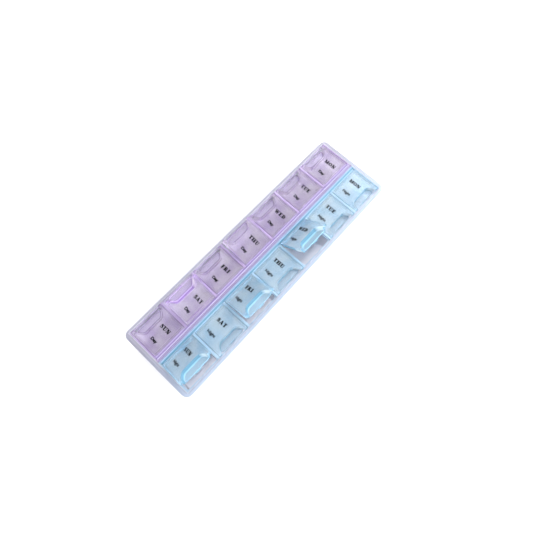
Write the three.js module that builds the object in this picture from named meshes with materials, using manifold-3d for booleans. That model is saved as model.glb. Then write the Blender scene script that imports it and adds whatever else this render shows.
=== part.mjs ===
// Weekly pill organizer: a frosted tray of two rows of seven compartments, one row of lilac lids
// for the day and one row of pale blue lids for the night. Each row of lids is one moulding with a
// hinge strip that snaps into the tray's centre beam, and each lid folds up on its own thin hinge.
// Millimetres. X runs from the day row to the night row, Y runs from Sunday to Monday, Z is up.
// The origin is at the middle of the tray's base, on the surface that it stands on.

import * as THREE from 'three';
import { mergeVertices } from 'three/addons/utils/BufferGeometryUtils.js';
import Module from 'manifold-3d';

// Tray
const trayLength = 213;
const trayWidth = 62;
const trayHeight = 21;
const planCornerRadius = 4.8;
const lipOverhang = 2.4;
const lipDepth = 3;
const lipRound = 2.2;
const lipEdgeRadius = 0.4;
const wallThickness = 1.5;
const wallDraft = 0.6;
const floorThickness = 1.4;
const scoopRadius = 8.5;
const endRound = 3.5;

// Compartments and the seats of the lids
const days = ['sun', 'sat', 'fri', 'thu', 'wed', 'tue', 'mon'];
const endRim = 4.55;
const ridgeWidth = 1.3;
const sideLedge = 0.6;
const outerLedge = 1;
const hingeLedge = 1.15;
const innerFloorRadius = 2;
const cellCornerRadius = 1.2;

// Hinge strips, which lie on the centre beam on either side of its rib
const ribWidth = 1.6;
const stripWidth = 2.05;
const webThickness = 0.6;
const webDepth = 2.2;
const barbWidth = 1.4;
const barbDepth = 1;
const beamSkin = 1.2;
const beamWall = 1.3;

// Lids
const lidThickness = 1.2;
const filmThickness = 0.4;
const lidCornerRadius = 0.8;
const lidEdgeRound = 0.25;
const skirtDepth = 3;
const skirtThickness = 0.9;
const noseSetback = 2;
const notchDepth = 6.8;
const notchWidth = 22.8;
const notchFlat = 11.6;
const notchTurn = 68;
const wellDepth = 4.2;
const wellSkin = 0.9;
const snapTabWidth = 4.8;
const snapTabReach = 1;

// Clearances
const fitGap = 0.3;
const hingeGap = 0.3;
const overrun = 4;

// Rest pose: how far each lid stands open, in degrees
const openAngles = { wed_night: 45, fri_night: 31, sun_night: 35.5, sat_day: 43, thu_day: 13 };

// Facets
const cornerSteps = 5;
const scoopSteps = 7;
const lipSteps = 5;
const innerSteps = 3;
const notchSteps = 9;

// Places worked out from the sizes above
const fieldLength = trayLength - 2 * endRim;
const cellPitch = (fieldLength + ridgeWidth) / days.length;
const openingWidth = cellPitch - ridgeWidth;
const cavityWidth = openingWidth - 2 * sideLedge;
const ledgeHeight = trayHeight - lidThickness - fitGap;
const wallFace = trayWidth / 2 - lipOverhang;
const cavityOuter = wallFace - wallThickness;
const openingOuter = cavityOuter + outerLedge;
const stripInner = ribWidth / 2 + fitGap;
const stripOuter = stripInner + stripWidth;
const hingeLine = stripOuter + hingeGap / 2;
const cavityInner = stripOuter + hingeLedge;
const webCentre = (stripInner + stripOuter) / 2;
const slotDepth = webDepth + barbDepth;
const wellBottom = wellDepth + wellSkin;
const pivotDrop = lidThickness - filmThickness / 2;
const pivotHeight = trayHeight - pivotDrop;

// Lid sizes, measured outward from the hinge line
const lidStart = hingeGap / 2;
const lidEnd = openingOuter - fitGap - hingeLine;
const lidWidth = openingWidth - 2 * fitGap;
const skirtStart = cavityInner + fitGap - hingeLine;
const noseEnd = lidEnd - noseSetback;
const skirtWidth = cavityWidth - 2 * fitGap;
const tabReachEnd = noseEnd + snapTabReach;
const tabSwing = Math.hypot(tabReachEnd, wellBottom - pivotDrop);

const wasm = await Module();
wasm.setup();

// A closed geometry as a solid that can be joined and cut
function solid(geometry) {
  const bare = geometry.clone();
  bare.deleteAttribute('normal');
  bare.deleteAttribute('uv');
  const welded = mergeVertices(bare);
  return new wasm.Manifold(new wasm.Mesh({
    numProp: 3,
    vertProperties: new Float32Array(welded.attributes.position.array),
    triVerts: new Uint32Array(welded.index.array),
  }));
}

// A solid back as a geometry
function geometryOf(body) {
  const mesh = body.getMesh();
  const geometry = new THREE.BufferGeometry();
  geometry.setAttribute('position', new THREE.BufferAttribute(mesh.vertProperties, 3));
  geometry.setIndex(new THREE.BufferAttribute(mesh.triVerts, 1));
  geometry.computeVertexNormals();
  return geometry;
}

// Points along an arc from one angle to another, in degrees
function arc(centreX, centreY, radius, fromAngle, toAngle, steps) {
  const points = [];
  for (let step = 0; step <= steps; step += 1) {
    const angle = THREE.MathUtils.degToRad(fromAngle + (toAngle - fromAngle) * step / steps);
    points.push(new THREE.Vector2(centreX + radius * Math.cos(angle), centreY + radius * Math.sin(angle)));
  }
  return points;
}

// The outline of a rectangle with round corners, from corner to corner
function roundedRectangle(fromX, toX, fromY, toY, radius, steps) {
  return [
    ...arc(toX - radius, toY - radius, radius, 0, 90, steps),
    ...arc(fromX + radius, toY - radius, radius, 90, 180, steps),
    ...arc(fromX + radius, fromY + radius, radius, 180, 270, steps),
    ...arc(toX - radius, fromY + radius, radius, 270, 360, steps),
  ];
}

// An outline in plan, raised from one height to another
function plate(outline, fromZ, toZ) {
  const geometry = new THREE.ExtrudeGeometry(new THREE.Shape(outline), {
    depth: toZ - fromZ,
    bevelEnabled: false,
  });
  return geometry.translate(0, 0, fromZ);
}

// A section in X and Z, run along Y and centred on it
function bar(section, length) {
  const geometry = new THREE.ExtrudeGeometry(new THREE.Shape(section), {
    depth: length,
    bevelEnabled: false,
  });
  return geometry.rotateX(Math.PI / 2).translate(0, length / 2, 0);
}

// A block between two corners
function block(fromX, toX, fromY, toY, fromZ, toZ) {
  const geometry = new THREE.BoxGeometry(toX - fromX, toY - fromY, toZ - fromZ);
  return geometry.translate((fromX + toX) / 2, (fromY + toY) / 2, (fromZ + toZ) / 2);
}

// A skin through rings of points, one ring above the other, closed at both ends
function loft(rings) {
  const count = rings[0].length;
  const positions = rings.flatMap((ring) => ring.flatMap((point) => [point.x, point.y, point.z]));
  const index = [];
  for (let level = 0; level + 1 < rings.length; level += 1) {
    for (let side = 0; side < count; side += 1) {
      const next = (side + 1) % count;
      const low = level * count;
      const high = low + count;
      index.push(low + side, low + next, high + next);
      index.push(low + side, high + next, high + side);
    }
  }
  const top = (rings.length - 1) * count;
  for (let side = 1; side + 1 < count; side += 1) {
    index.push(0, side + 1, side);
    index.push(top, top + side, top + side + 1);
  }
  const geometry = new THREE.BufferGeometry();
  geometry.setAttribute('position', new THREE.Float32BufferAttribute(positions, 3));
  geometry.setIndex(index);
  return geometry;
}

// The same solid turned to the day row, half a turn about the tray's middle
function forBothRows(geometry) {
  return [geometry, geometry.clone().rotateZ(Math.PI)];
}

// Tray: one moulding with a rolled lip, a scoop in every compartment and a hollow centre beam

// How far an edge rounded by a radius has drawn in at a height above the base
function drawnIn(radius, height) {
  if (height >= radius) {
    return 0;
  }
  return radius - Math.sqrt(radius * radius - (radius - height) ** 2);
}

function trayRing(insetX, insetY, height) {
  const halfX = trayWidth / 2 - insetX;
  const halfY = trayLength / 2 - insetY;
  const radius = planCornerRadius - Math.min(insetX, lipOverhang);
  const outline = roundedRectangle(-halfX, halfX, -halfY, halfY, radius, cornerSteps);
  return outline.map((point) => new THREE.Vector3(point.x, point.y, height));
}

function trayShell() {
  const lipBase = trayHeight - lipDepth;
  const sideRound = scoopRadius + wallThickness;
  const rings = [];
  for (const point of arc(0, sideRound, sideRound, 270, 360, scoopSteps)) {
    const height = point.y;
    const drafted = lipOverhang + wallDraft * (1 - height / lipBase);
    rings.push(trayRing(
      drafted + drawnIn(sideRound, height),
      drafted + drawnIn(endRound, height),
      height,
    ));
  }
  rings.push(trayRing(lipOverhang, lipOverhang, lipBase));
  rings.push(trayRing(lipEdgeRadius, lipEdgeRadius, lipBase));
  for (const point of arc(-lipRound, -lipRound, lipRound, 0, 90, lipSteps)) {
    rings.push(trayRing(-point.x, -point.x, trayHeight + point.y));
  }
  return solid(loft(rings));
}

// A compartment: a deep pocket whose floor sweeps up to the outer wall for a fingertip
function compartment() {
  const top = trayHeight + overrun;
  const floor = floorThickness;
  const inner = innerFloorRadius;
  const outline = [
    new THREE.Vector2(cavityOuter, top),
    new THREE.Vector2(cavityInner, top),
    ...arc(cavityInner + inner, floor + inner, inner, 180, 270, innerSteps),
    ...arc(cavityOuter - scoopRadius, floor + scoopRadius, scoopRadius, 270, 360, scoopSteps),
  ];
  const straight = cavityWidth - 2 * cellCornerRadius;
  const geometry = new THREE.ExtrudeGeometry(new THREE.Shape(outline), {
    depth: straight,
    bevelEnabled: true,
    bevelThickness: cellCornerRadius,
    bevelSize: cellCornerRadius,
    bevelOffset: -cellCornerRadius,
    bevelSegments: innerSteps,
  });
  return geometry.rotateX(Math.PI / 2).translate(0, straight / 2, 0);
}

// The seat round a compartment's mouth that takes the lid's edge
function lidSeat() {
  const half = openingWidth / 2;
  return block(stripInner, openingOuter, -half, half, ledgeHeight, trayHeight + overrun);
}

// The upright groove that the lid's snap tab swings down into
function snapGroove() {
  const half = snapTabWidth / 2 + fitGap;
  const depth = hingeLine + tabSwing + fitGap;
  const bottom = trayHeight - wellBottom - fitGap;
  return block(cavityOuter - overrun / 2, depth, -half, half, bottom, trayHeight + overrun);
}

// The undercut slot that grips a hinge strip's web
function webSlot() {
  const neck = webThickness / 2 + fitGap;
  const barb = barbWidth / 2 + fitGap;
  const barbTop = ledgeHeight - webDepth + 2 * fitGap;
  const bottom = ledgeHeight - slotDepth;
  const section = [
    new THREE.Vector2(webCentre - neck, ledgeHeight + fitGap),
    new THREE.Vector2(webCentre - neck, barbTop),
    new THREE.Vector2(webCentre - barb, barbTop),
    new THREE.Vector2(webCentre - neck, bottom),
    new THREE.Vector2(webCentre + neck, bottom),
    new THREE.Vector2(webCentre + barb, barbTop),
    new THREE.Vector2(webCentre + neck, barbTop),
    new THREE.Vector2(webCentre + neck, ledgeHeight + fitGap),
  ];
  return bar(section, fieldLength);
}

function tray() {
  const cutters = [];
  const addRow = (geometry) => {
    for (const side of forBothRows(geometry)) {
      cutters.push(solid(side));
    }
  };
  for (const [place] of days.entries()) {
    const centre = cellCentre(place);
    addRow(compartment().translate(0, centre, 0));
    addRow(lidSeat().translate(0, centre, 0));
    addRow(snapGroove().translate(0, centre, 0));
  }
  const channelEnd = stripOuter + hingeGap;
  const half = fieldLength / 2;
  addRow(block(ribWidth / 2, channelEnd, -half, half, ledgeHeight, trayHeight + overrun));
  addRow(webSlot());
  const hollow = cavityInner - beamWall;
  const hollowTop = ledgeHeight - slotDepth - beamSkin;
  cutters.push(solid(block(-hollow, hollow, -half, half, -overrun, hollowTop)));
  return wasm.Manifold.difference([trayShell(), ...cutters]);
}

// Where a compartment's middle lies along the tray
function cellCentre(place) {
  return (place - (days.length - 1) / 2) * cellPitch;
}

// Hinge strip: a narrow plate on a web with a barbed foot, its outer edge sloped for the groove
// over the hinge film
function hingeStrip() {
  const under = trayHeight - lidThickness;
  const neck = webThickness / 2;
  const barb = barbWidth / 2;
  const barbTop = under - webDepth;
  const section = [
    new THREE.Vector2(stripInner, under),
    new THREE.Vector2(webCentre - neck, under),
    new THREE.Vector2(webCentre - neck, barbTop),
    new THREE.Vector2(webCentre - barb, barbTop),
    new THREE.Vector2(webCentre - neck, barbTop - barbDepth),
    new THREE.Vector2(webCentre + neck, barbTop - barbDepth),
    new THREE.Vector2(webCentre + barb, barbTop),
    new THREE.Vector2(webCentre + neck, barbTop),
    new THREE.Vector2(webCentre + neck, under),
    new THREE.Vector2(stripOuter, under),
    new THREE.Vector2(stripOuter, pivotHeight),
    new THREE.Vector2(stripOuter - pivotDrop, trayHeight),
    new THREE.Vector2(stripInner, trayHeight),
  ];
  return bar(section, fieldLength - 2 * fitGap);
}

// Lid: a thin plate with skirts, and a finger well let into its free edge.
// X runs outward from the hinge line, and Z is zero at the lid's top face until it is mounted.

// The finger notch's edge: a flat bottom with an elliptical flank on each side, out to the horns.
// The setback moves it into the lid by the thickness of the well's wall.
function notchEdge(setback) {
  const flat = notchFlat / 2;
  const turn = THREE.MathUtils.degToRad(notchTurn);
  const reach = (notchWidth / 2 - flat) / Math.sin(turn);
  const rise = notchDepth / (1 - Math.cos(turn));
  const bottom = lidEnd - notchDepth;
  const half = [];
  for (let step = 0; step <= notchSteps; step += 1) {
    const angle = turn * step / notchSteps;
    const point = new THREE.Vector2(
      bottom + rise * (1 - Math.cos(angle)),
      flat + reach * Math.sin(angle),
    );
    const away = new THREE.Vector2(-reach * Math.cos(angle), rise * Math.sin(angle));
    half.push(point.addScaledVector(away.normalize(), setback));
  }
  const mirrored = half.map((point) => new THREE.Vector2(point.x, -point.y)).reverse();
  return [...mirrored, ...half];
}

// The plan of everything beyond the notch's edge, out to a given distance from the hinge
function beyondNotch(setback, end) {
  const edge = notchEdge(setback);
  const last = edge[edge.length - 1];
  return [...edge, new THREE.Vector2(end, last.y), new THREE.Vector2(end, -last.y)];
}

function lidPlate() {
  const half = lidWidth / 2;
  const inset = lidEdgeRound;
  const outline = roundedRectangle(
    lidStart + inset,
    lidEnd - inset,
    inset - half,
    half - inset,
    lidCornerRadius - inset,
    innerSteps,
  );
  const geometry = new THREE.ExtrudeGeometry(new THREE.Shape(outline), {
    depth: lidThickness - 2 * inset,
    bevelEnabled: true,
    bevelThickness: inset,
    bevelSize: inset,
    bevelSegments: 1,
  });
  const hingeGroove = bar([
    new THREE.Vector2(lidStart, -pivotDrop),
    new THREE.Vector2(lidStart + pivotDrop + overrun, overrun),
    new THREE.Vector2(lidStart - overrun, overrun),
    new THREE.Vector2(lidStart - overrun, -pivotDrop),
  ], lidWidth + overrun);
  return solid(geometry.translate(0, 0, inset - lidThickness)).subtract(solid(hingeGroove));
}

function lidSkirt() {
  const half = skirtWidth / 2;
  const wall = skirtThickness;
  const radius = cellCornerRadius;
  const bury = lidThickness / 2;
  const outer = roundedRectangle(skirtStart, noseEnd, -half, half, radius, innerSteps);
  const inner = block(
    skirtStart + wall,
    noseEnd - wall,
    wall - half,
    half - wall,
    -skirtDepth - overrun,
    overrun,
  );
  return solid(plate(outer, -skirtDepth, -bury)).subtract(solid(inner));
}

function lid() {
  const bury = lidThickness / 2;
  const well = beyondNotch(wellSkin, lidEnd + overrun);
  const wellLimit = block(0, noseEnd, -skirtWidth / 2, skirtWidth / 2, -wellBottom - overrun, 0);
  const wellShell = solid(plate(well, -wellBottom, -bury)).intersect(solid(wellLimit));
  const fingerSpace = solid(plate(beyondNotch(0, lidEnd + overrun), -wellDepth, overrun));
  const tabHalf = snapTabWidth / 2;
  const tab = block(noseEnd - bury, tabReachEnd, -tabHalf, tabHalf, -wellBottom, -wellDepth);
  const moulded = lidPlate().add(lidSkirt()).add(wellShell).subtract(fingerSpace).add(solid(tab));
  return moulded.translate(0, 0, pivotDrop);
}

// Materials
const frostedTray = new THREE.MeshStandardMaterial({
  color: '#dfe0f4',
  roughness: 0.35,
  metalness: 0,
  transparent: true,
  opacity: 0.6,
});
const lilacLid = new THREE.MeshStandardMaterial({
  color: '#c3aee6',
  roughness: 0.25,
  metalness: 0,
  transparent: true,
  opacity: 0.75,
});
const blueLid = new THREE.MeshStandardMaterial({
  color: '#a3d3f5',
  roughness: 0.25,
  metalness: 0,
  transparent: true,
  opacity: 0.75,
});

function piece(name, geometry, material) {
  const mesh = new THREE.Mesh(geometry, material);
  mesh.name = name;
  return mesh;
}

// The night row lies at +X, and the day row is the same turned half round
function lidRow(row, material) {
  const group = new THREE.Group();
  const turned = row === 'day';
  group.rotation.z = turned ? Math.PI : 0;
  group.add(piece(`${row}_hinge_strip`, hingeStrip(), material));
  const lidGeometry = geometryOf(lid());
  for (const [place, day] of days.entries()) {
    const hinged = piece(`lid_${day}_${row}`, lidGeometry, material);
    const centre = turned ? -cellCentre(place) : cellCentre(place);
    hinged.position.set(hingeLine, centre, pivotHeight);
    hinged.rotation.y = -THREE.MathUtils.degToRad(openAngles[`${day}_${row}`] ?? 0);
    group.add(hinged);
  }
  return group;
}

const organizer = new THREE.Group();
organizer.add(piece('tray', geometryOf(tray()), frostedTray));
organizer.add(lidRow('day', lilacLid));
organizer.add(lidRow('night', blueLid));

export default organizer;
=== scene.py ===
# %% [markdown]
# # Weekly pill organizer
# A frosted tray holds two rows of compartments, with lilac lids for the day and pale blue lids for
# the night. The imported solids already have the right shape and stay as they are. This script gives
# them their plastics, adds the thin hinge films, the coves of the finger wells and the printed
# words, and lights them as on a studio table.

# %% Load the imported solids
import math

import bmesh
import bpy
from mathutils import Matrix, Vector


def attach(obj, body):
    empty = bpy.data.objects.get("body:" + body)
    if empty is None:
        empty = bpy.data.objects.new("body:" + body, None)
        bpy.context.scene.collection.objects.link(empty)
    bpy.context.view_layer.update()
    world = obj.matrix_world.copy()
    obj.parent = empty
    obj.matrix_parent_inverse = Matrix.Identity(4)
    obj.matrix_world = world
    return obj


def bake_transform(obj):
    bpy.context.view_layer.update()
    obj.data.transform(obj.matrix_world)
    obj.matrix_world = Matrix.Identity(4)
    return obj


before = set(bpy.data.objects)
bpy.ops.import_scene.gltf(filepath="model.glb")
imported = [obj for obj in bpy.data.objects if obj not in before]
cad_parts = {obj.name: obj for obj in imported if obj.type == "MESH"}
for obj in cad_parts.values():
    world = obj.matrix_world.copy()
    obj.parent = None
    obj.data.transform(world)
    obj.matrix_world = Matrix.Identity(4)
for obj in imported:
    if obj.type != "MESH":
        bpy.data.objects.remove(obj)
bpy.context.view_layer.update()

# %% [markdown]
# The camera stands high over the night side and looks steeply down, a little toward the far end of
# the tray. Its place, turn and focal length were worked out from the tray's four corners in the
# picture, so the tray falls on the same lines here. The sensor is left at 36 mm, and a small shift
# puts the lens axis where the picture had it.

# %% The camera
PICTURE_PIXELS = 540
SENSOR_MM = 36.0
FOCAL_PIXELS = 395.204
AXIS_PIXEL = (254.0, 269.0)
CLIP_START = 0.01

eye = Vector((0.053895, -0.077134, 0.290211))
right = Vector((0.733688, 0.679027, 0.024968))
up = Vector((-0.654460, 0.696308, 0.294683))
back = right.cross(up)

lens = bpy.data.cameras.new("studio_camera")
lens.sensor_width = SENSOR_MM
lens.lens = FOCAL_PIXELS * SENSOR_MM / PICTURE_PIXELS
lens.shift_x = (PICTURE_PIXELS / 2 - AXIS_PIXEL[0]) / PICTURE_PIXELS
lens.shift_y = (AXIS_PIXEL[1] - PICTURE_PIXELS / 2) / PICTURE_PIXELS
lens.clip_start = CLIP_START
camera = bpy.data.objects.new("studio_camera", lens)
camera.matrix_world = Matrix.Translation(eye) @ Matrix((right, up, back)).transposed().to_4x4()
bpy.context.scene.collection.objects.link(camera)
bpy.context.scene.camera = camera
bpy.context.scene.view_settings.view_transform = "Standard"
print("lens mm:", round(lens.lens, 2))

# %% [markdown]
# The plastics and the small pieces are laid out in each lid's own plane, so the lids' sizes are
# written here once, in metres: u runs outward from the hinge, v runs along the tray from the
# middle of the lid, and w is the height over the lid's top face. A lid that stands open turns
# about the middle of its hinge film, and every point on it turns along.

# %% Sizes of the lids
MM = 0.001
DAYS = ["sun", "sat", "fri", "thu", "wed", "tue", "mon"]
ROWS = {"day": -1, "night": 1}
OPEN_ANGLES = {"wed_night": 45, "fri_night": 31, "sun_night": 35.5, "sat_day": 43, "thu_day": 13}
CELL_PITCH = 29.3143 * MM
LID_WIDTH = 27.4143 * MM
LID_END = 24.5 * MM
LID_THICKNESS = 1.2 * MM
FILM_THICKNESS = 0.4 * MM
HINGE_X = 3.3 * MM
TRAY_HEIGHT = 21 * MM
PIVOT_Z = TRAY_HEIGHT - LID_THICKNESS + FILM_THICKNESS / 2


def lid_angle(day, row):
    return math.radians(OPEN_ANGLES.get(f"{day}_{row}", 0))


def cell_centre(day):
    return (DAYS.index(day) - 3) * CELL_PITCH


def on_lid(day, row, u, v, w=0.0, turned=1.0):
    angle = lid_angle(day, row) * turned
    rise = w + TRAY_HEIGHT - PIVOT_Z
    outward = u * math.cos(angle) - rise * math.sin(angle)
    upward = u * math.sin(angle) + rise * math.cos(angle)
    return Vector((ROWS[row] * (HINGE_X + outward), cell_centre(day) + v, PIVOT_Z + upward))


print("corner of a closed lid:", on_lid("mon", "night", LID_END, LID_WIDTH / 2))

# %% [markdown]
# Every material is a small network of nodes. One helper adds a node, sets its options and fills
# its sockets: a socket is linked, and anything else is typed in as a value. A Mix node has number
# sockets and colour sockets under the same names, so they are picked by their places, which get
# names here. Colours are written as the sRGB hex values that a paint program shows, and one
# function turns them into the linear numbers that the shader works in.

# %% Nodes and colours
FACTOR = 0
NUMBER_A, NUMBER_B = 2, 3
COLOUR_A, COLOUR_B = 6, 7
MIXED_COLOUR = 2


def add(tree, kind, sockets=None, **options):
    node = tree.nodes.new(kind)
    for name, value in options.items():
        setattr(node, name, value)
    for name, value in (sockets or {}).items():
        if isinstance(value, bpy.types.NodeSocket):
            tree.links.new(value, node.inputs[name])
        else:
            node.inputs[name].default_value = value
    return node


def linear(code):
    values = [int(code[place:place + 2], 16) / 255 for place in (1, 3, 5)]
    return [v / 12.92 if v <= 0.04045 else ((v + 0.055) / 1.055) ** 2.4 for v in values] + [1.0]


def new_material(name):
    material = bpy.data.materials.new(name)
    material.use_nodes = True
    material.node_tree.nodes.clear()
    return material, material.node_tree


def dress(thing, material):
    for slot in thing.material_slots:
        slot.material = material


print("middle grey in linear numbers:", round(linear("#808080")[0], 3))

# %% [markdown]
# All the plastic here is injection-moulded polypropylene, which shows two patterns. A soft cloud of
# tone, about 9 mm across, stands for the flow of the plastic in the mould. A grain of 0.35 mm is
# the fine texture of the mould's walls, coarser than the real one, so that it shows in the picture.

# %% Flow and grain of moulded plastic
POLYPROPYLENE_IOR = 1.49
FLOW_CLOUD = 9 * MM
FLOW_DETAIL = 2
GRAIN = 0.35 * MM
GRAIN_HEIGHT = 0.05 * MM


def flow_cloud(tree, point):
    noise = add(tree, "ShaderNodeTexNoise", {
        "Vector": point, "Scale": 1 / FLOW_CLOUD, "Detail": FLOW_DETAIL,
    })
    return noise.outputs[0]


def moulded_grain(tree, point, strength):
    grain = add(tree, "ShaderNodeTexNoise", {"Vector": point, "Scale": 1 / GRAIN})
    bump = add(tree, "ShaderNodeBump", {
        "Height": grain.outputs[0], "Strength": strength, "Distance": GRAIN_HEIGHT,
    })
    return bump.outputs[0]


print("clouds along the tray:", round(len(DAYS) * CELL_PITCH / FLOW_CLOUD))

# %% [markdown]
# The lids have a drop of dye in them. The plastic is clear but milky: light passes through it and is
# scattered on the way, so a closed lid shows the compartment under it as a soft blur. A see-through
# colour over a plain surface would be simpler, but it leaves the compartments dark. Here the light
# really passes through the plates, as rough transmission with the index of refraction of the
# plastic, and a small share of it is scattered back as plain colour. The well floors have a tone of
# their own, and on the night lids that stand open they scatter more. That is painted light, which
# makes them lighter than on the closed lids. Beside the dyes, the table holds painted light: the
# edge and cove tones are a painted glow on upright faces, and the pale tone of the well walls that
# face the near end of the tray is a painted highlight.

# %% Dyes and painted light
# The edge and cove tones are a painted glow for upright faces, and the flank tone is a painted highlight.
DYES_AND_PAINTED_LIGHT = {
    "day": {
        "plate": "#f2e8f8", "cloud": "#dac8ec", "floor": "#e8dbf5",
        "edge": "#bf9ce6", "flank": "#fbf2ff", "cove": "#dfc8ff",
    },
    "night": {
        "plate": "#def4ff", "cloud": "#c2e6fb", "floor": "#d8f0fc",
        "edge": "#8fc9e4", "flank": "#e8f8ff", "cove": "#a2d5ec",
    },
}
# The larger shares on the floors of open night lids and on the walls that face the near end are painted
# light.
SCATTER = {
    "day": 0.13, "night": 0.22, "floor": 0.12, "lit_open_floor": 0.3,
    "edge": 0.4, "flank": 0.85, "cove": 0.75, "hinge": 0.55,
}
MOULDED_ROUGHNESS = 0.26
POLISHED_ROUGHNESS = 0.12
for row, dye in DYES_AND_PAINTED_LIGHT.items():
    print(row, "dye:", dye["plate"], "to", dye["edge"])

# %% [markdown]
# The tones follow the places on a lid, so the shader first finds where each point of the surface
# lies. It turns the point and its normal back into the plane of the closed lid and measures the
# distance outward from the tray's middle, and the distances to the lid's front and to its nearer
# side. The same nodes serve every lid of a row, because the distance along the tray is wrapped at
# every lid.

# %% Places on a lid
def place_on_lid(tree, row, angle):
    place = add(tree, "ShaderNodeTexCoord")
    turn = {"Axis": (0, 1, 0), "Angle": ROWS[row] * angle}
    flat = add(tree, "ShaderNodeVectorRotate", {
        **turn, "Vector": place.outputs["Object"], "Center": (ROWS[row] * HINGE_X, 0, PIVOT_Z),
    })
    at = add(tree, "ShaderNodeSeparateXYZ", {"Vector": flat.outputs[0]})
    facing = add(tree, "ShaderNodeVectorRotate", {**turn, "Vector": place.outputs["Normal"]})
    normal = add(tree, "ShaderNodeSeparateXYZ", {"Vector": facing.outputs[0]})
    outward = add(tree, "ShaderNodeMath", {0: at.outputs["X"]}, operation="ABSOLUTE")
    to_front = add(tree, "ShaderNodeMath", {
        0: HINGE_X + LID_END, 1: outward.outputs[0],
    }, operation="SUBTRACT")
    along = add(tree, "ShaderNodeMath", {
        0: at.outputs["Y"], 1: CELL_PITCH / 2, 2: -CELL_PITCH / 2,
    }, operation="WRAP")
    sideways = add(tree, "ShaderNodeMath", {0: along.outputs[0]}, operation="ABSOLUTE")
    to_side = add(tree, "ShaderNodeMath", {
        0: LID_WIDTH / 2, 1: sideways.outputs[0],
    }, operation="SUBTRACT")
    return {
        "point": flat.outputs[0], "height": at.outputs["Z"],
        "normal_y": normal.outputs["Y"], "normal_z": normal.outputs["Z"],
        "outward": outward.outputs[0], "to_front": to_front.outputs[0], "to_side": to_side.outputs[0],
    }


print("the places repeat every", round(CELL_PITCH / MM, 1), "mm")

# %% [markdown]
# Light that runs along inside a plate comes out at its edges and upright walls, so these look more
# vivid than the flat plate, the way the rim of a coloured drinking glass does. The shader paints this
# as a glow in the edge tone. In the finger wells, the walls that face the near end of the tray get a
# painted highlight instead: a pale tone and a large scattered share make them much lighter. Each of
# these parts of the lid gets a mask, a number from 0 to 1, worked out from the places: `wall` for
# upright faces and the thin painted glow along the rim, `floor` for everything as low as the well's
# floor, one for the walls with the painted highlight, and `hinge` for the strip and the start of the
# lid. A pair of values below says where a mask starts and where it is full.

# %% Masks on a lid
PLATE_LEVEL = 0.9
WALL_LEVEL = 0.2
EDGE_GLOW = 0.7 * MM
EDGE_GLOW_STRENGTH = 0.75
WELL_WALLS = 3.6 * MM
WELL_DEPTH = 4.1 * MM
FLANK_TURN = (-0.35, -0.8)
FLANK_FROM_SIDE = (1.2 * MM, 1.56 * MM)
HORN_LENGTH = (6.8 * MM, 6.12 * MM)
HINGE_REACH = 4.4 * MM
HINGE_CORE = 3.6 * MM


def lid_masks(tree, spot):
    level = add(tree, "ShaderNodeMath", {0: spot["normal_z"]}, operation="ABSOLUTE")
    upright = add(tree, "ShaderNodeMapRange", {
        "Value": level.outputs[0], "From Min": PLATE_LEVEL, "From Max": WALL_LEVEL,
    })
    # A painted glow runs along the lid's outer rim.
    to_rim = add(tree, "ShaderNodeMath", {
        0: spot["to_front"], 1: spot["to_side"],
    }, operation="MINIMUM")
    rim = add(tree, "ShaderNodeMapRange", {
        "Value": to_rim.outputs[0], "From Min": EDGE_GLOW, "From Max": 0, "To Max": EDGE_GLOW_STRENGTH,
    }, interpolation_type="SMOOTHSTEP")
    wall = add(tree, "ShaderNodeMath", {0: upright.outputs[0], 1: rim.outputs[0]}, operation="MAXIMUM")
    floor = add(tree, "ShaderNodeMapRange", {
        "Value": spot["height"],
        "From Min": TRAY_HEIGHT - WELL_WALLS, "From Max": TRAY_HEIGHT - WELL_DEPTH,
    })
    # Walls that face the near end of the tray get a painted highlight.
    facing_near = add(tree, "ShaderNodeMapRange", {
        "Value": spot["normal_y"], "From Min": FLANK_TURN[0], "From Max": FLANK_TURN[1],
    })
    off_side = add(tree, "ShaderNodeMapRange", {
        "Value": spot["to_side"], "From Min": FLANK_FROM_SIDE[0], "From Max": FLANK_FROM_SIDE[1],
    })
    on_horn = add(tree, "ShaderNodeMapRange", {
        "Value": spot["to_front"], "From Min": HORN_LENGTH[0], "From Max": HORN_LENGTH[1],
    })
    by_well = add(tree, "ShaderNodeMath", {
        0: off_side.outputs[0], 1: on_horn.outputs[0],
    }, operation="MAXIMUM")
    flank = add(tree, "ShaderNodeMath", {
        0: facing_near.outputs[0], 1: by_well.outputs[0],
    }, operation="MULTIPLY")
    hinge = add(tree, "ShaderNodeMapRange", {
        "Value": spot["outward"], "From Min": HINGE_REACH, "From Max": HINGE_CORE,
    })
    masks = {"wall": wall, "floor": floor, "flank": flank, "hinge": hinge}
    return {name: node.outputs[0] for name, node in masks.items()}


print("the hinge mask ends, mm from the tray's middle:", round(HINGE_REACH / MM, 1))

# %% [markdown]
# The colour is laid on in the order of the masks, tone over tone. Beside the hinge, strip and lid
# are so narrow and so full of corners that light from both lids gathers there and shows as thin
# bright and dark lines along the tray. A colour ramp over the distance from the tray's middle, in
# millimetres, draws them.

# %% Colour of a lid
CLOUD_CONTRAST = (0.35, 0.7)
HINGE_LINES = {
    "day": {
        0.9: "#ada2cc", 1.25: "#d5ccf0", 1.7: "#d5ccf0",
        2.3: "#ad9ad5", 2.7: "#ad9ad5", 3.4: "#c9bde5",
    },
    "night": {
        0.9: "#adc9f2", 1.25: "#c8dafa", 1.5: "#bbd5f7",
        2.0: "#76adc8", 2.6: "#76adc8", 3.3: "#c2e4fd",
    },
}


def hinge_line_colour(tree, row, outward):
    reach = add(tree, "ShaderNodeMath", {0: outward, 1: 1 / HINGE_REACH}, operation="MULTIPLY")
    lines = add(tree, "ShaderNodeValToRGB", {"Fac": reach.outputs[0]})
    stops = lines.color_ramp.elements
    for distance, code in HINGE_LINES[row].items():
        stops.new(distance * MM / HINGE_REACH).color = linear(code)
    stops.remove(stops[0])
    stops[-1].color = stops[-2].color
    return lines.outputs[0]


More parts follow.
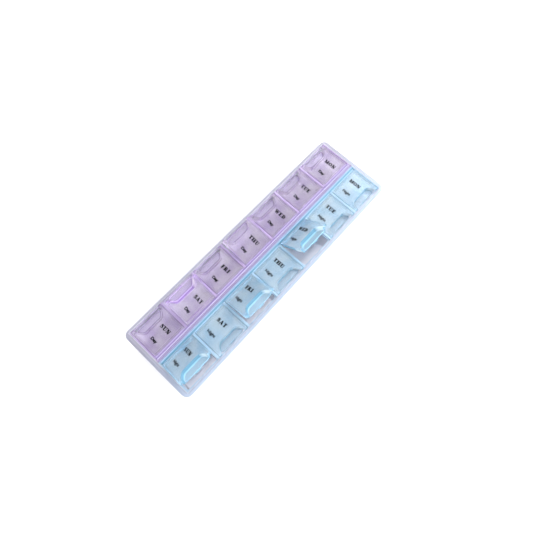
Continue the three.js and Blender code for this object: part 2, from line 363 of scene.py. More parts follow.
def lid_colour(tree, row, upright_tone, spot, masks):
    dye = {part: linear(code) for part, code in DYES_AND_PAINTED_LIGHT[row].items()}
    cloud = add(tree, "ShaderNodeMapRange", {
        "Value": flow_cloud(tree, spot["point"]),
        "From Min": CLOUD_CONTRAST[0], "From Max": CLOUD_CONTRAST[1],
    })
    plate = add(tree, "ShaderNodeMix", {
        FACTOR: cloud.outputs[0], COLOUR_A: dye["plate"], COLOUR_B: dye["cloud"],
    }, data_type="RGBA")
    level = add(tree, "ShaderNodeMix", {
        FACTOR: masks["floor"], COLOUR_A: plate.outputs[MIXED_COLOUR], COLOUR_B: dye["floor"],
    }, data_type="RGBA")
    # Upright faces get the painted glow of their tone, and those facing the near end the painted
    # highlight.
    wall = add(tree, "ShaderNodeMix", {
        FACTOR: masks["flank"], COLOUR_A: dye[upright_tone], COLOUR_B: dye["flank"],
    }, data_type="RGBA")
    lid = add(tree, "ShaderNodeMix", {
        FACTOR: masks["wall"],
        COLOUR_A: level.outputs[MIXED_COLOUR], COLOUR_B: wall.outputs[MIXED_COLOUR],
    }, data_type="RGBA")
    whole = add(tree, "ShaderNodeMix", {
        FACTOR: masks["hinge"], COLOUR_A: lid.outputs[MIXED_COLOUR],
        COLOUR_B: hinge_line_colour(tree, row, spot["outward"]),
    }, data_type="RGBA")
    return whole.outputs[MIXED_COLOUR]


print("hinge lines:", {row: len(lines) for row, lines in HINGE_LINES.items()})

# %% [markdown]
# The same masks mix the share of light that passes through, which is what the scattered share
# leaves over. Then the material is put together. Every row has one plastic for its closed lids and
# its hinge strip, and a lid that stands open gets its own, which knows the angle.

# %% Dyed polypropylene
LID_GRAIN_STRENGTH = 0.04


def lid_clearness(tree, row, upright_tone, floor, masks):
    clear = {part: 1 - share for part, share in SCATTER.items()}
    level = add(tree, "ShaderNodeMapRange", {
        "Value": masks["floor"], "To Min": clear[row], "To Max": clear[floor],
    })
    # The painted glow and the painted highlight also raise the scattered share on the walls.
    wall = add(tree, "ShaderNodeMapRange", {
        "Value": masks["flank"], "To Min": clear[upright_tone], "To Max": clear["flank"],
    })
    lid = add(tree, "ShaderNodeMix", {
        FACTOR: masks["wall"], NUMBER_A: level.outputs[0], NUMBER_B: wall.outputs[0],
    })
    whole = add(tree, "ShaderNodeMix", {
        FACTOR: masks["hinge"], NUMBER_A: lid.outputs[0], NUMBER_B: clear["hinge"],
    })
    return whole.outputs[0]


def dyed_polypropylene(name, row, angle, upright_tone="edge", roughness=MOULDED_ROUGHNESS):
    material, tree = new_material(name)
    spot = place_on_lid(tree, row, angle)
    masks = lid_masks(tree, spot)
    # The well floors of open night lids scatter more: painted light that makes them lighter than on closed
    # lids.
    floor = "lit_open_floor" if angle and row == "night" else "floor"
    shader = add(tree, "ShaderNodeBsdfPrincipled", {
        "Base Color": lid_colour(tree, row, upright_tone, spot, masks),
        "Transmission Weight": lid_clearness(tree, row, upright_tone, floor, masks),
        "Normal": moulded_grain(tree, spot["point"], LID_GRAIN_STRENGTH),
        "Roughness": roughness, "IOR": POLYPROPYLENE_IOR,
    })
    add(tree, "ShaderNodeOutputMaterial", {"Surface": shader.outputs["BSDF"]})
    return material


row_plastic = {}
for row in ROWS:
    row_plastic[row] = dyed_polypropylene(f"{row}_polypropylene", row, 0)
    dress(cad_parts[f"{row}_hinge_strip"], row_plastic[row])
    for day in DAYS:
        plastic = row_plastic[row]
        if lid_angle(day, row):
            plastic = dyed_polypropylene(f"{row}_polypropylene_{day}", row, lid_angle(day, row))
        dress(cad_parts[f"lid_{day}_{row}"], plastic)
print("lids and strips dyed:", len(ROWS) * (len(DAYS) + 1))

# %% [markdown]
# The tray is the same plastic without dye. Undyed polypropylene is milky white with a faint lilac
# cast. Its lip is the thickest part, so the shader makes the outer 3 mm more milky. It also paints
# shade on the lip as a grey that is darkest on the day side and turns lighter and bluer toward the
# night side. A paler outer edge on the long sides is a painted highlight, where the rounding catches
# light. The ridges between the lids and the upper walls under them get painted light in the lids'
# colours, violet on one side and blue on the other, and scatter more of it back than the lower walls
# do. The rib between the hinge strips carries painted shade in a deeper violet. Masks sort these
# parts again, by the distance to the tray's outer edge, to its middle and to its top.

# %% Masks on the tray
TRAY_LENGTH = 213 * MM
TRAY_WIDTH = 62 * MM
LIP_WIDTH = 3 * MM
LIP_CORE = 2.1 * MM
END_LEDGE = 0.9 * MM
PALE_EDGE = 1.5 * MM
PALE_EDGE_CORE = 0.6 * MM
PALE_EDGE_STRENGTH = 0.8
RIB_HALF = 0.8 * MM
RIB_CORE = 0.32 * MM
RIDGE_GLOW = 5 * MM
RIDGE_TOP = 0.8 * MM
RIDGE_FROM_EDGE = (2.7 * MM, 3.3 * MM)


def tray_masks(tree, point):
    at = add(tree, "ShaderNodeSeparateXYZ", {"Vector": point})
    across = add(tree, "ShaderNodeMath", {0: at.outputs["X"]}, operation="ABSOLUTE")
    lengthwise = add(tree, "ShaderNodeMath", {0: at.outputs["Y"]}, operation="ABSOLUTE")
    to_side = add(tree, "ShaderNodeMath", {
        0: TRAY_WIDTH / 2, 1: across.outputs[0],
    }, operation="SUBTRACT")
    to_end = add(tree, "ShaderNodeMath", {
        0: TRAY_LENGTH / 2 - END_LEDGE, 1: lengthwise.outputs[0],
    }, operation="SUBTRACT")
    to_edge = add(tree, "ShaderNodeMath", {
        0: to_side.outputs[0], 1: to_end.outputs[0],
    }, operation="MINIMUM")
    # The lip mask makes the lip milkier and lays on its grey of painted shade.
    lip = add(tree, "ShaderNodeMapRange", {
        "Value": to_edge.outputs[0], "From Min": LIP_WIDTH, "From Max": LIP_CORE,
    }, interpolation_type="SMOOTHSTEP")
    # The painted shade on the lip is darkest on the day side and falls off toward the night side.
    night_lip = add(tree, "ShaderNodeMapRange", {
        "Value": at.outputs["X"], "From Min": -TRAY_WIDTH / 4, "From Max": TRAY_WIDTH / 2 - LIP_WIDTH,
    })
    # A painted highlight on the rounding of the long sides.
    pale_edge = add(tree, "ShaderNodeMapRange", {
        "Value": to_side.outputs[0],
        "From Min": PALE_EDGE, "From Max": PALE_EDGE_CORE, "To Max": PALE_EDGE_STRENGTH,
    })
    night_side = add(tree, "ShaderNodeMapRange", {
        "Value": at.outputs["X"], "From Min": -RIB_HALF, "From Max": RIB_HALF,
    })
    # Painted shade on the rib between the hinge strips.
    rib = add(tree, "ShaderNodeMapRange", {
        "Value": across.outputs[0], "From Min": RIB_HALF, "From Max": RIB_CORE,
    })
    # The ridges and upper walls get painted light in the lids' colours.
    high = add(tree, "ShaderNodeMapRange", {
        "Value": at.outputs["Z"],
        "From Min": TRAY_HEIGHT - RIDGE_GLOW, "From Max": TRAY_HEIGHT - RIDGE_TOP,
    })
    inside = add(tree, "ShaderNodeMapRange", {
        "Value": to_edge.outputs[0], "From Min": RIDGE_FROM_EDGE[0], "From Max": RIDGE_FROM_EDGE[1],
    })
    ridge = add(tree, "ShaderNodeMath", {
        0: high.outputs[0], 1: inside.outputs[0],
    }, operation="MULTIPLY")
    masks = {
        "lip": lip, "night_lip": night_lip, "pale_edge": pale_edge,
        "night_side": night_side, "rib": rib, "ridge": ridge,
    }
    return {name: node.outputs[0] for name, node in masks.items()}


print("the lip's share of the tray's width:", round(2 * LIP_WIDTH / TRAY_WIDTH, 2))

# %% [markdown]
# The tray's colour starts from its own skin, with the lip laid over it and the ridges over both.

# %% Colour of the tray
# The lip tones are painted shade, the edge tones a painted highlight, the ridge tones painted light and
# the rib tone painted shade.
TRAY_TONES = {
    "skin": "#f8f9ff", "cloud": "#eef1fc", "day_lip": "#a8a7b6", "night_lip": "#b3bfd1",
    "day_edge": "#ecedf6", "night_edge": "#bccbde",
    "rib": "#9586b6", "day_ridge": "#ccb9e2", "night_ridge": "#bbdcf2",
}


def tray_colour(tree, point, masks):
    tone = {part: linear(code) for part, code in TRAY_TONES.items()}
    skin = add(tree, "ShaderNodeMix", {
        FACTOR: flow_cloud(tree, point), COLOUR_A: tone["skin"], COLOUR_B: tone["cloud"],
    }, data_type="RGBA")
    # The lip's grey is painted shade, with a painted highlight along its outer edge.
    lip = add(tree, "ShaderNodeMix", {
        FACTOR: masks["night_lip"], COLOUR_A: tone["day_lip"], COLOUR_B: tone["night_lip"],
    }, data_type="RGBA")
    edge = add(tree, "ShaderNodeMix", {
        FACTOR: masks["night_lip"], COLOUR_A: tone["day_edge"], COLOUR_B: tone["night_edge"],
    }, data_type="RGBA")
    edged_lip = add(tree, "ShaderNodeMix", {
        FACTOR: masks["pale_edge"],
        COLOUR_A: lip.outputs[MIXED_COLOUR], COLOUR_B: edge.outputs[MIXED_COLOUR],
    }, data_type="RGBA")
    body = add(tree, "ShaderNodeMix", {
        FACTOR: masks["lip"],
        COLOUR_A: skin.outputs[MIXED_COLOUR], COLOUR_B: edged_lip.outputs[MIXED_COLOUR],
    }, data_type="RGBA")
    # Painted light in the lids' colours on the ridges, with painted shade on the rib.
    ridge = add(tree, "ShaderNodeMix", {
        FACTOR: masks["night_side"], COLOUR_A: tone["day_ridge"], COLOUR_B: tone["night_ridge"],
    }, data_type="RGBA")
    ribbed = add(tree, "ShaderNodeMix", {
        FACTOR: masks["rib"], COLOUR_A: ridge.outputs[MIXED_COLOUR], COLOUR_B: tone["rib"],
    }, data_type="RGBA")
    whole = add(tree, "ShaderNodeMix", {
        FACTOR: masks["ridge"],
        COLOUR_A: body.outputs[MIXED_COLOUR], COLOUR_B: ribbed.outputs[MIXED_COLOUR],
    }, data_type="RGBA")
    return whole.outputs[MIXED_COLOUR]


print("tray:", TRAY_TONES["skin"], "lip:", TRAY_TONES["day_lip"], "to", TRAY_TONES["night_lip"])

# %% [markdown]
# The thin walls scatter the least light, the lip and the ridges several times more. On the ridges
# this larger share is part of their painted light. The surface is a little rougher than the lids',
# as a frosted mould leaves it.

# %% Frosted polypropylene
THIN_SCATTER = 0.12
LIP_SCATTER = 0.5
RIDGE_SCATTER = 0.55
FROSTED_ROUGHNESS = 0.38
TRAY_GRAIN_STRENGTH = 0.05


def frosted_polypropylene(name):
    material, tree = new_material(name)
    point = add(tree, "ShaderNodeTexCoord").outputs["Object"]
    masks = tray_masks(tree, point)
    wall_clear = add(tree, "ShaderNodeMapRange", {
        "Value": masks["lip"], "To Min": 1 - THIN_SCATTER, "To Max": 1 - LIP_SCATTER,
    })
    clear = add(tree, "ShaderNodeMix", {
        FACTOR: masks["ridge"], NUMBER_A: wall_clear.outputs[0], NUMBER_B: 1 - RIDGE_SCATTER,
    })
    shader = add(tree, "ShaderNodeBsdfPrincipled", {
        "Base Color": tray_colour(tree, point, masks),
        "Transmission Weight": clear.outputs[0],
        "Normal": moulded_grain(tree, point, TRAY_GRAIN_STRENGTH),
        "Roughness": FROSTED_ROUGHNESS, "IOR": POLYPROPYLENE_IOR,
    })
    add(tree, "ShaderNodeOutputMaterial", {"Surface": shader.outputs["BSDF"]})
    return material


dress(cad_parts["tray"], frosted_polypropylene("frosted_polypropylene"))
print("tray dressed in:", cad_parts["tray"].material_slots[0].material.name)

# %% [markdown]
# A living hinge is a thin web of the same plastic, left between strip and lid where a groove is
# moulded into the plate. It bends thousands of times without tearing. The solids are open there,
# so a film 0.4 mm thick is drawn across each gap: a short strip of section, bent to the angle at
# which the lid stands, and run along the lid's width. First come two helpers: one turns drawn
# faces into a piece of the scene, and the other closes a section into a strip along the tray.

# %% From faces to a piece
def piece_from(shape, name, material):
    mesh = bpy.data.meshes.new(name)
    shape.to_mesh(mesh)
    shape.free()
    mesh.materials.append(material)
    piece = bpy.data.objects.new(name, mesh)
    bpy.context.scene.collection.objects.link(piece)
    return piece


def closed_strip(name, section, half_length, centre, material):
    shape = bmesh.new()
    ends = [
        [shape.verts.new((x, centre + side * half_length, z)) for x, z in section] for side in (-1, 1)
    ]
    count = len(section)
    for place in range(count):
        after = (place + 1) % count
        shape.faces.new((ends[0][place], ends[0][after], ends[1][after], ends[1][place]))
    shape.faces.new(ends[0])
    shape.faces.new(ends[1])
    bmesh.ops.recalc_face_normals(shape, faces=shape.faces)
    return piece_from(shape, name, material)


print("pieces drawn so far:", len(bpy.data.meshes) - len(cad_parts))

# %% [markdown]
# The bend of a film is a quadratic curve: it leaves the strip level, is pulled toward the fold and
# arrives along the lid. The film's two faces run half its thickness above and below the curve.

# %% Hinge films
FILM_REACH = 0.45 * MM
FILM_INSET = 0.3 * MM
FILM_STEPS = 6


def hinge_film(day, row):
    level = PIVOT_Z - TRAY_HEIGHT
    start = on_lid(day, row, -FILM_REACH, 0, level, turned=0)
    fold = on_lid(day, row, 0, 0, level)
    end = on_lid(day, row, FILM_REACH, 0, level)
    upper, lower = [], []
    for step in range(FILM_STEPS + 1):
        t = step / FILM_STEPS
        point = start * (1 - t) ** 2 + fold * 2 * t * (1 - t) + end * t ** 2
        run = ((fold - start) * (1 - t) + (end - fold) * t).normalized()
        rise = Vector((-run.z, 0, run.x)) * FILM_THICKNESS / 2
        upper.append((point.x + rise.x, point.z + rise.z))
        lower.append((point.x - rise.x, point.z - rise.z))
    film = closed_strip(
        f"film_{day}_{row}", upper + lower[::-1], LID_WIDTH / 2 - FILM_INSET, cell_centre(day),
        row_plastic[row],
    )
    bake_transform(film)
    return film


films = [hinge_film(day, row) for row in ROWS for day in DAYS]
print("hinge films:", len(films))

# %% [markdown]
# The finger well in a lid's free edge has no sharp inner corner: a smooth cove runs round it where
# the floor turns up into the walls, which fills the mould better, is kinder to a fingertip and
# catches the light. The solids leave it out, because it is too fine for collision. It could be a
# bevel on the solid, but the solids stay as they are, so it is a ring of its own with a hollowed
# section, swept along the notch's edge and round the well's free front. The path starts at the back
# of the notch, runs out along its curved flank, turns the front corner and comes back mirrored. The
# section is tallest at the back and falls to a low rim along the well's open front.

# %% Path and section of a cove
NOTCH_BACK = LID_END - 6.8 * MM
NOTCH_FLAT_HALF = 5.8 * MM
NOTCH_FLANK_REACH = 6.04 * MM
NOTCH_FLANK_RISE = 10.87 * MM
NOTCH_FLANK_TURN = 50.5
WELL_FLOOR = -4.2 * MM
COVE_FRONT = 23.35 * MM
COVE_CORNER = 1.7 * MM
COVE_GAP = 0.03 * MM
COVE_BACK = {"reach": 0.9 * MM, "top": -2.8 * MM}
COVE_RIM = {"reach": 0.8 * MM, "top": -3.7 * MM}
FLANK_STEPS = 9
CORNER_STEPS = 6
COVE_STEPS = 6
COVE_SHARP = math.radians(35)


def cove_path():
    corner_u = COVE_FRONT - COVE_CORNER
    half = [Vector((NOTCH_BACK, 0))]
    for step in range(FLANK_STEPS + 1):
        turn = math.radians(NOTCH_FLANK_TURN * step / FLANK_STEPS)
        half.append(Vector((
            NOTCH_BACK + NOTCH_FLANK_RISE * (1 - math.cos(turn)),
            NOTCH_FLAT_HALF + NOTCH_FLANK_REACH * math.sin(turn),
        )))
    corner_v = half[-1].y - COVE_CORNER
    for step in range(1, CORNER_STEPS + 1):
        turn = math.radians(90 - 90 * step / CORNER_STEPS)
        half.append(Vector((corner_u, corner_v)) + Vector((math.cos(turn), math.sin(turn))) * COVE_CORNER)
    half.append(Vector((COVE_FRONT, 0)))
    return half + [Vector((point.x, -point.y)) for point in half[-2:0:-1]]


def cove_section(forward):
    reach = COVE_BACK["reach"] + (COVE_RIM["reach"] - COVE_BACK["reach"]) * forward
    top = COVE_BACK["top"] + (COVE_RIM["top"] - COVE_BACK["top"]) * forward
    base = WELL_FLOOR + COVE_GAP
    section = [(COVE_GAP, base)]
    for step in range(COVE_STEPS + 1):
        turn = math.radians(90 * step / COVE_STEPS)
        section.append((
            COVE_GAP + reach * (1 - math.cos(turn)), top - (top - base - COVE_GAP) * math.sin(turn),
        ))
    return section + [(COVE_GAP + reach, base)]


print("points round a cove:", len(cove_path()), "in its section:", len(cove_section(0)))

# %% [markdown]
# The mould is polished at the coves, so they shine more than the plate, and their thick plastic
# looks milkier. Shading is smooth along the hollow and sharp where faces meet at a steep angle.
# Each cove rides on its lid.

# %% Coves of the finger wells
def cove(day, row):
    path = cove_path()
    shape = bmesh.new()
    rings = []
    for place, point in enumerate(path):
        run = (path[(place + 1) % len(path)] - path[place - 1]).normalized()
        inward = Vector((run.y, -run.x))
        forward = min(max((point.x - NOTCH_BACK) / (COVE_FRONT - NOTCH_BACK), 0), 1)
        rings.append([
            shape.verts.new(on_lid(day, row, *(point + inward * away), level))
            for away, level in cove_section(forward)
        ])
    for place, ring in enumerate(rings):
        after = rings[(place + 1) % len(rings)]
        for step in range(len(ring)):
            other = (step + 1) % len(ring)
            shape.faces.new((ring[step], ring[other], after[other], after[step]))
    bmesh.ops.recalc_face_normals(shape, faces=shape.faces)
    for face in shape.faces:
        face.smooth = True
    for edge in shape.edges:
        edge.smooth = edge.calc_face_angle() < COVE_SHARP
    plastic = dyed_polypropylene(
        f"polished_{row}_polypropylene_{day}", row, lid_angle(day, row), "cove", POLISHED_ROUGHNESS,
    )
    piece = piece_from(shape, f"cove_{day}_{row}", plastic)
    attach(piece, f"lid_{day}_{row}")
    return piece


coves = [cove(day, row) for row in ROWS for day in DAYS]
print("coves:", len(coves), "faces each:", len(coves[0].data.polygons))

# %% [markdown]
# Every lid carries its weekday in bold capitals with serifs, and Day or Night in plain letters
# under it. Such words are pad-printed: a soft silicone pad lifts ink from an etched plate and
# presses it on the lid. The capitals could come from a font file, but only Blender's own plain
# font is sure to be there, so they are drawn from strokes, as a sign painter does it. A stroke is
# a list of rungs, each a left and a right point in units of the capitals' height, and faces are
# laid between the rungs.

# %% Strokes
STEM = 0.3
HAIR = 0.13
SERIF = 0.13
OVERHANG = 0.08
ARC_STEPS = 18


def slant(foot, head, bottom=0.0, top=1.0):
    return [((foot[0], bottom), (foot[1], bottom)), ((head[0], top), (head[1], top))]


def bar(left, right, bottom=0.0, top=1.0):
    return slant((left, right), (left, right), bottom, top)


def serifs(left, width=STEM, ends=(0.0, 1.0 - SERIF)):
    return [bar(left - OVERHANG, left + width + OVERHANG, end, end + SERIF) for end in ends]


def stem(left, width=STEM):
    return [bar(left, left + width), *serifs(left, width)]


def bowl(centre, outer, hollow, inner, start, stop):
    rungs = []
    for step in range(ARC_STEPS + 1):
        angle = math.radians(start + (stop - start) * step / ARC_STEPS)
        turn = (math.cos(angle), math.sin(angle))
        near = (hollow[0] + inner[0] * turn[0], hollow[1] + inner[1] * turn[1])
        far = (centre[0] + outer[0] * turn[0], centre[1] + outer[1] * turn[1])
        rungs.append((near, far))
    return rungs


print("rungs in a full bowl:", len(bowl((0, 0), (1, 1), (0, 0), (1, 1), 0, 360)))

# %% [markdown]
# The capital S is a ribbon of changing width. It runs through a few points along its spine, and a
# cubic curve through them gives the places between.

# %% The ribbon of an S
RIBBON_STEPS = 6
RUN_STEP = 0.05


def smooth(values, place):
    first = min(int(place), len(values) - 2)
    part = place - first
    before, here = values[max(first - 1, 0)], values[first]
    there, after = values[first + 1], values[min(first + 2, len(values) - 1)]
    bend = 2 * before - 5 * here + 4 * there - after
    twist = 3 * here - 3 * there + after - before
    return here + ((there - before) * part + bend * part ** 2 + twist * part ** 3) / 2


def ribbon(spine, widths):
    rungs = []
    spine = [Vector(point) for point in spine]
    for step in range((len(spine) - 1) * RIBBON_STEPS + 1):
        place = step / RIBBON_STEPS
        ahead, behind = min(place + RUN_STEP, len(spine) - 1), max(place - RUN_STEP, 0)
        run = smooth(spine, ahead) - smooth(spine, behind)
        sideways = Vector((-run.y, run.x)).normalized() * smooth(widths, place) / 2
        rungs.append((smooth(spine, place) + sideways, smooth(spine, place) - sideways))
    return rungs


S_SPINE = [
    (0.57, 0.76), (0.34, 0.93), (0.17, 0.74), (0.34, 0.53), (0.53, 0.29), (0.32, 0.07), (0.07, 0.26),
]
S_WIDTHS = [0.1, 0.13, 0.25, 0.3, 0.25, 0.13, 0.1]
print("rungs in an S:", len(ribbon(S_SPINE, S_WIDTHS)))

# %% [markdown]
# These are the capitals that the seven weekdays need, each with its width. Heavy stems and thin
# hairlines stand side by side, as in the bold book faces of the nineteenth century.

# %% Capitals
TOP = 1 - SERIF
SIDE_TICKS = [slant((0.56, 0.64), (0.52, 0.64), 0.68), slant((0.44, 0.52), (0.44, 0.52), 0.36, 0.66)]
CAPITALS = {
    "S": (0.68, [ribbon(S_SPINE, S_WIDTHS), bar(0.54, 0.62, 0.66), bar(0.04, 0.12, 0, 0.34)]),
    "U": (0.82, [
        bar(0.08, 0.36, 0.28), bar(0.6, 0.72, 0.28), *serifs(0.08, 0.28, [TOP]), *serifs(0.6, HAIR, [TOP]),
        bowl((0.4, 0.3), (0.32, 0.32), (0.48, 0.32), (0.12, 0.2), 180, 360),
    ]),
    "N": (0.82, [
        bar(0.08, 0.2), bar(0.6, 0.72), slant((0.42, 0.72), (0.04, 0.34)), *serifs(0.08, HAIR, [0]),
        *serifs(0.6, HAIR, [TOP]), *serifs(0.04, HAIR, [TOP]),
    ]),
    "A": (0.82, [
        slant((0.05, 0.18), (0.32, 0.45)), slant((0.45, 0.75), (0.28, 0.48)), bar(0.2, 0.58, 0.26, 0.38),
        *serifs(0.05, HAIR, [0]), *serifs(0.47, 0.27, [0]),
    ]),
    "T": (0.7, [
        bar(0.21, 0.49), bar(0, 0.7, TOP), *serifs(0.21, 0.28, [0]),
        slant((0, 0.06), (0, 0.12), 0.68), slant((0.64, 0.7), (0.58, 0.7), 0.68),
    ]),
    "F": (0.66, [*stem(0.08), bar(0.3, 0.64, TOP), bar(0.3, 0.48, 0.45, 0.57), *SIDE_TICKS]),
    "E": (0.72, [
        *stem(0.08), bar(0.3, 0.64, TOP), bar(0.3, 0.48, 0.45, 0.57), *SIDE_TICKS,
        bar(0.3, 0.68, 0, SERIF), slant((0.56, 0.68), (0.64, 0.68), 0, 0.3),
    ]),
    "R": (0.86, [
        *stem(0.08), bar(0.36, 0.42, TOP), bar(0.36, 0.42, 0.47, 0.6),
        slant((0.54, 0.86), (0.36, 0.64), 0, 0.5),
        bowl((0.42, 0.735), (0.29, 0.265), (0.42, 0.735), (0.07, 0.14), -90, 90),
    ]),
    "I": (0.46, stem(0.08)),
    "H": (0.94, [*stem(0.08), *stem(0.56), bar(0.36, 0.58, 0.43, 0.56)]),
    "W": (1.1, [
        slant((0.26, 0.42), (0.03, 0.31)), slant((0.31, 0.42), (0.5, 0.61)),
        slant((0.62, 0.78), (0.4, 0.68)), slant((0.67, 0.78), (0.9, 1.01)),
        *serifs(0.04, 0.26, [TOP]), *serifs(0.9, HAIR, [TOP]),
    ]),
    "D": (0.84, [
        *stem(0.08), bar(0.36, 0.4, TOP), bar(0.36, 0.4, 0, SERIF),
        bowl((0.38, 0.5), (0.42, 0.5), (0.38, 0.5), (0.13, 0.38), -90, 90),
    ]),
    "M": (1.02, [
        bar(0.09, 0.2), slant((0.38, 0.54), (0.05, 0.34)), slant((0.42, 0.54), (0.72, 0.84)),
        bar(0.68, 0.94), *serifs(0.09, 0.11), *serifs(0.68, 0.26),
    ]),
    "O": (0.84, [bowl((0.42, 0.5), (0.42, 0.52), (0.42, 0.5), (0.14, 0.39), 0, 360)]),
}
print("capitals drawn:", "".join(CAPITALS))

# %% [markdown]
# A weekday is first laid out flat: its capitals stand side by side with a small gap, a little
# stretched as on the print, and the middle of the word goes to its place on the lid.

# %% Weekdays
CAPITAL_HEIGHT = 3.0 * MM
CAPITAL_GAP = 0.06
CAPITAL_STRETCH = 1.16
WEEKDAY_AT = (9.15 * MM, 3.95 * MM)


def lay_weekday(shape, word):
    length = sum(CAPITALS[letter][0] for letter in word) + CAPITAL_GAP * (len(word) - 1)
    start = -length / 2
    for letter in word:
        width, strokes = CAPITALS[letter]
        for rungs in strokes:
            pairs = []
            for rung in rungs:
                across = [((start + x) * CAPITAL_STRETCH, y - 0.5) for x, y in rung]
                pairs.append([shape.verts.new(Vector((*point, 0)) * CAPITAL_HEIGHT) for point in across])
            for one, two in zip(pairs, pairs[1:]):
                shape.faces.new((one[0], one[1], two[1], two[0]))
        start += width + CAPITAL_GAP
    for vert in shape.verts:
        vert.co += Vector((WEEKDAY_AT[0], WEEKDAY_AT[1], 0))


print("widest capital:", max(CAPITALS, key=lambda letter: CAPITALS[letter][0]))

# %% [markdown]
# Day and Night come from Blender's own font, as text objects. Each is made a little bolder, turned
# into a mesh and fitted to the width and height of the printed word.

# %% Day and Night
ROW_WORD_AT = (9.05 * MM, -6.2 * MM)
ROW_WORD_HEIGHT = 2.2 * MM
ROW_WORD_BOLDNESS = {"day": 0.055, "night": 0.035}
ROW_WORD_WIDTHS = {"day": 5.3 * MM, "night": 6.9 * MM}


def lay_row_word(shape, row):
    words = bpy.data.curves.new("row_word", "FONT")
    words.body = row.capitalize()
    words.offset = ROW_WORD_BOLDNESS[row]
    writer = bpy.data.objects.new("row_word", words)
    flat = bpy.data.meshes.new_from_object(writer)
    low = Vector([min(vert.co[axis] for vert in flat.vertices) for axis in range(3)])
    high = Vector([max(vert.co[axis] for vert in flat.vertices) for axis in range(3)])
    capital_top = high.y
    across = ROW_WORD_WIDTHS[row] / (high.x - low.x)
    upward = ROW_WORD_HEIGHT / capital_top
    for vert in flat.vertices:
        x = (vert.co.x - (low.x + high.x) / 2) * across
        vert.co = (ROW_WORD_AT[0] + x, ROW_WORD_AT[1] + (vert.co.y - capital_top / 2) * upward, 0)
    shape.from_mesh(flat)
    bpy.data.objects.remove(writer)
    bpy.data.curves.remove(words)
    bpy.data.meshes.remove(flat)


print("row words, mm:", {row: round(width / MM, 1) for row, width in ROW_WORD_WIDTHS.items()})

# %% [markdown]
# Both words are extruded together to the height of the ink and laid on their lid, at the angle at
# which the lid stands. Real pad-printing ink is a hundredth of a millimetre high, and is drawn a
# little higher, so that its edge still shows. It is matt and nearly black, and covers a little
# unevenly over the grain of the lid.

# %% Printed words
INK_BITE = 0.02 * MM
INK_HEIGHT = 0.03 * MM
INK_TONES = ("#050609", "#0d0e12")
INK_ROUGHNESS = 0.7
INK_IOR = 1.5
INK_SHINE = 0.05


def lettering(day, row, ink):
    shape = bmesh.new()
    lay_weekday(shape, day.upper())
    lay_row_word(shape, row)
    raised = bmesh.ops.extrude_face_region(shape, geom=shape.faces[:])["geom"]
    for vert in [part for part in raised if isinstance(part, bmesh.types.BMVert)]:
        vert.co.z += INK_BITE + INK_HEIGHT
    middle = WEEKDAY_AT[0]
    for vert in shape.verts:
        u = middle + ROWS[row] * (vert.co.x - middle)
        vert.co = on_lid(day, row, u, vert.co.y, vert.co.z - INK_BITE)
    bmesh.ops.recalc_face_normals(shape, faces=shape.faces)
    words = piece_from(shape, f"lettering_{day}_{row}", ink)
    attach(words, f"lid_{day}_{row}")
    return words


ink, tree = new_material("pad_printing_ink")
point = add(tree, "ShaderNodeTexCoord").outputs["Object"]
cover = add(tree, "ShaderNodeTexNoise", {"Vector": point, "Scale": 1 / GRAIN})
black = add(tree, "ShaderNodeMix", {
    FACTOR: cover.outputs[0], COLOUR_A: linear(INK_TONES[0]), COLOUR_B: linear(INK_TONES[1]),
}, data_type="RGBA")
shader = add(tree, "ShaderNodeBsdfPrincipled", {
    "Base Color": black.outputs[MIXED_COLOUR],
    "Roughness": INK_ROUGHNESS, "IOR": INK_IOR, "Specular IOR Level": INK_SHINE,
})
add(tree, "ShaderNodeOutputMaterial", {"Surface": shader.outputs["BSDF"]})
prints = [lettering(day, row, ink) for row in ROWS for day in DAYS]
print("lids with words:", len(prints))

# %% [markdown]
# The tray stands on a sheet of white paper, which isn't part of it. It is a flat grid, a tenth of
# a millimetre under the tray, and hardly shines, so only soft shade shows on it. Its faint mottle
# is drawn 20 mm wide, because real fibres would be too fine to show. A noise texture with nothing
# linked to it is stretched over the whole sheet, so its scale is the sheet's width in mottles.

# %% Floor
PAPER_TONES = ("#fafafa", "#f6f6f6")
PAPER_ROUGHNESS = 0.9
MOTTLE = 20 * MM
SHEET_REACH = 3
SHEET_DROP = 0.1 * MM

paper, tree = new_material("white_paper")
mottle = add(tree, "ShaderNodeTexNoise", {"Scale": 2 * SHEET_REACH / MOTTLE})
tone = add(tree, "ShaderNodeMix", {
    FACTOR: mottle.outputs[0], COLOUR_A: linear(PAPER_TONES[0]), COLOUR_B: linear(PAPER_TONES[1]),
}, data_type="RGBA")
shader = add(tree, "ShaderNodeBsdfPrincipled", {
    "Base Color": tone.outputs[MIXED_COLOUR], "Roughness": PAPER_ROUGHNESS,
})
add(tree, "ShaderNodeOutputMaterial", {"Surface": shader.outputs["BSDF"]})

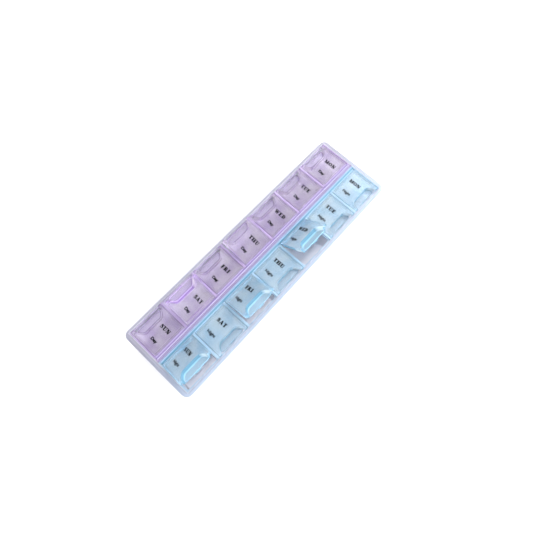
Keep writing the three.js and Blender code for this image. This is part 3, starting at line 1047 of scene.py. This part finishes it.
sheet = bmesh.new()
bmesh.ops.create_grid(sheet, x_segments=1, y_segments=1, size=SHEET_REACH)
floor = piece_from(sheet, "floor", paper)
floor.location.z = -SHEET_DROP
print("floor width, m:", round(2 * max(vert.co.x for vert in floor.data.vertices), 2))

# %% [markdown]
# The picture was lit as for a catalogue: soft and bright from every side, with the far end of the
# tray lighter than the near end. One large softbox stands low behind the far end and shines off
# the lids there, a second hangs above, and the air around them grows brighter on their side. A
# small third one hangs close over the far end, so that the light falls off along the tray.

# %% Lights
BRIGHT_SIDE = (0.5, 0.42, 0.76)
AIR_TURN = (-0.6, 0.9)
AIR_STRENGTH = (0.66, 1.92)
AIR_COLOUR = "#f9f9fd"


def softbox(name, place, size, power):
    light = bpy.data.lights.new(name, "AREA")
    light.size = size
    light.energy = power
    lamp = bpy.data.objects.new(name, light)
    lamp.location = place
    lamp.rotation_euler = (-lamp.location).to_track_quat("-Z", "Y").to_euler()
    bpy.context.scene.collection.objects.link(lamp)
    return lamp


lamps = [
    softbox("far_softbox", place=(0.28, 0.5, 0.38), size=0.45, power=2.6),
    softbox("top_softbox", place=(0.1, 0.2, 1.3), size=1.2, power=2.0),
    softbox("near_softbox", place=(0, 0.17, 0.2), size=0.12, power=0.06),
]
world = bpy.data.worlds.new("studio")
world.use_nodes = True
tree = world.node_tree
tree.nodes.clear()
sky = add(tree, "ShaderNodeTexCoord")
toward_light = add(tree, "ShaderNodeVectorMath", {
    0: sky.outputs["Generated"], 1: BRIGHT_SIDE,
}, operation="DOT_PRODUCT")
strength = add(tree, "ShaderNodeMapRange", {
    "Value": toward_light.outputs["Value"], "From Min": AIR_TURN[0], "From Max": AIR_TURN[1],
    "To Min": AIR_STRENGTH[0], "To Max": AIR_STRENGTH[1],
}, interpolation_type="SMOOTHSTEP")
air = add(tree, "ShaderNodeBackground", {
    "Color": linear(AIR_COLOUR), "Strength": strength.outputs[0],
})
add(tree, "ShaderNodeOutputWorld", {"Surface": air.outputs[0]})
bpy.context.scene.world = world
print("softboxes:", [lamp.name for lamp in lamps])
